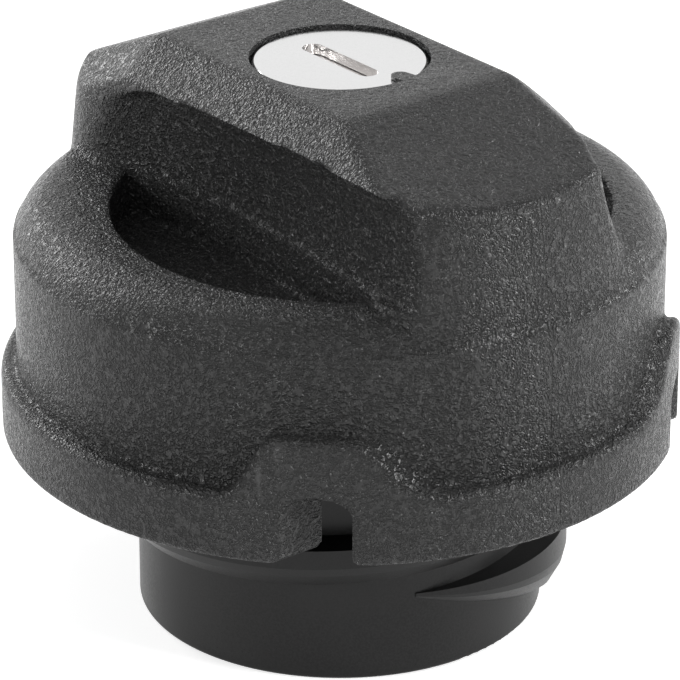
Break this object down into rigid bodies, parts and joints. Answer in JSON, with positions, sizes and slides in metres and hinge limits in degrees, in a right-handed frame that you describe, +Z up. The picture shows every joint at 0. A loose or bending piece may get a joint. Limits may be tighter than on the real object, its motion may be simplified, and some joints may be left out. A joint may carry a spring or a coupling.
{
  "type": "fuel filler cap",
  "caption": "Locking screw-in fuel filler cap with a broad grip handle, finger pockets, a key cylinder, a skirt with slots, a threaded neck and pressure valves inside.",
  "frame": {"origin": "bottom centre of the neck, where the cap stands in the picture", "axes": "+Z up along the neck's axis towards the key slot; the handle runs along Y with its front end at -Y; +X to the right of the front end as seen from above with -Y at the bottom"},
  "size_m": [0.0804, 0.0804, 0.0684],
  "materials": {
    "cover_plastic": "pebble grain, satin sheen",
    "neck_plastic": "smooth satin",
    "inner_plastic": "smooth satin",
    "pale_plastic": "smooth",
    "seal_rubber": "dull",
    "face_steel": "fine satin",
    "shutter_steel": "satin",
    "lock_metal": "die-cast",
    "bolt_steel": "zinc plated",
    "screw_steel": "zinc plated",
    "spring_steel": "plain",
    "wafer_brass": "plain"
  },
  "bodies": {
    "neck": {"neck_body": "neck_plastic", "seal_ring": "seal_rubber", "thrust_washer": "pale_plastic", "retaining_ring": "spring_steel", "valve_carrier": "pale_plastic", "bottom_cap": "inner_plastic", "relief_spring": "spring_steel"},
    "cover": {"outer_cover": "cover_plastic", "base_plate": "inner_plastic", "lock_housing": "lock_metal", "housing_screws": "screw_steel", "bolt_guide": "inner_plastic", "guide_screws": "screw_steel"},
    "plug": {"lock_plug": "lock_metal", "lock_face": "face_steel", "plug_circlip": "spring_steel", "shutter_pin": "spring_steel", "shutter_spring": "spring_steel", "crank_disc": "lock_metal", "crank_screw": "screw_steel", "wafer_spring_1": "spring_steel", "wafer_spring_2": "spring_steel", "wafer_spring_3": "spring_steel", "wafer_spring_4": "spring_steel"},
    "shutter": {"key_shutter": "shutter_steel"},
    "wafer_one": {"wafer_1": "wafer_brass"},
    "wafer_two": {"wafer_2": "wafer_brass"},
    "wafer_three": {"wafer_3": "wafer_brass"},
    "wafer_four": {"wafer_4": "wafer_brass"},
    "bolt": {"locking_bolt": "bolt_steel"},
    "relief": {"relief_plate": "pale_plastic", "relief_seal": "seal_rubber", "vacuum_spring": "spring_steel"},
    "vacuum": {"vacuum_disc": "seal_rubber", "spring_cap": "pale_plastic"}
  },
  "joints": [
    {"name": "cover_spin", "type": "hinge", "parent": "neck", "child": "cover", "pos_m": [0, 0, 0.0366], "axis": [0, 0, 1], "continuous": true},
    {"name": "key_turn", "type": "hinge", "parent": "cover", "child": "plug", "pos_m": [0, 0, 0.06], "axis": [0, 0, -1], "range_deg": [0, 90]},
    {"name": "bolt_slide", "type": "slide", "parent": "cover", "child": "bolt", "axis": [1, 0, 0], "range_m": [0, 0.00481]},
    {"name": "shutter_flap", "type": "hinge", "parent": "plug", "child": "shutter", "pos_m": [-0.0029, 0, 0.0658], "axis": [0, 1, 0], "range_deg": [0, 80], "stiffness_Nm_per_rad": 0.0008, "springref_deg": -28.65},
    {"name": "wafer_one_slide", "type": "slide", "parent": "plug", "child": "wafer_one", "axis": [0, 1, 0], "range_m": [0, 0.0008], "stiffness_N_per_m": 60, "springref_m": 0.0018},
    {"name": "wafer_two_slide", "type": "slide", "parent": "plug", "child": "wafer_two", "axis": [0, -1, 0], "range_m": [0, 0.0008], "stiffness_N_per_m": 60, "springref_m": 0.0018},
    {"name": "wafer_three_slide", "type": "slide", "parent": "plug", "child": "wafer_three", "axis": [0, 1, 0], "range_m": [0, 0.0008], "stiffness_N_per_m": 60, "springref_m": 0.0018},
    {"name": "wafer_four_slide", "type": "slide", "parent": "plug", "child": "wafer_four", "axis": [0, -1, 0], "range_m": [0, 0.0008], "stiffness_N_per_m": 60, "springref_m": 0.0018},
    {"name": "relief_lift", "type": "slide", "parent": "neck", "child": "relief", "axis": [0, 0, 1], "range_m": [0, 0.0015], "stiffness_N_per_m": 400, "springref_m": -0.004, "deforming": ["relief_spring"]},
    {"name": "vacuum_drop", "type": "slide", "parent": "relief", "child": "vacuum", "axis": [0, 0, -1], "range_m": [0, 0.001], "stiffness_N_per_m": 60, "springref_m": -0.003, "deforming": ["vacuum_spring"]}
  ],
  "couplings": [
    {"joint": "key_turn", "follows": "bolt_slide", "rad_per_m": 326.57}
  ]
}
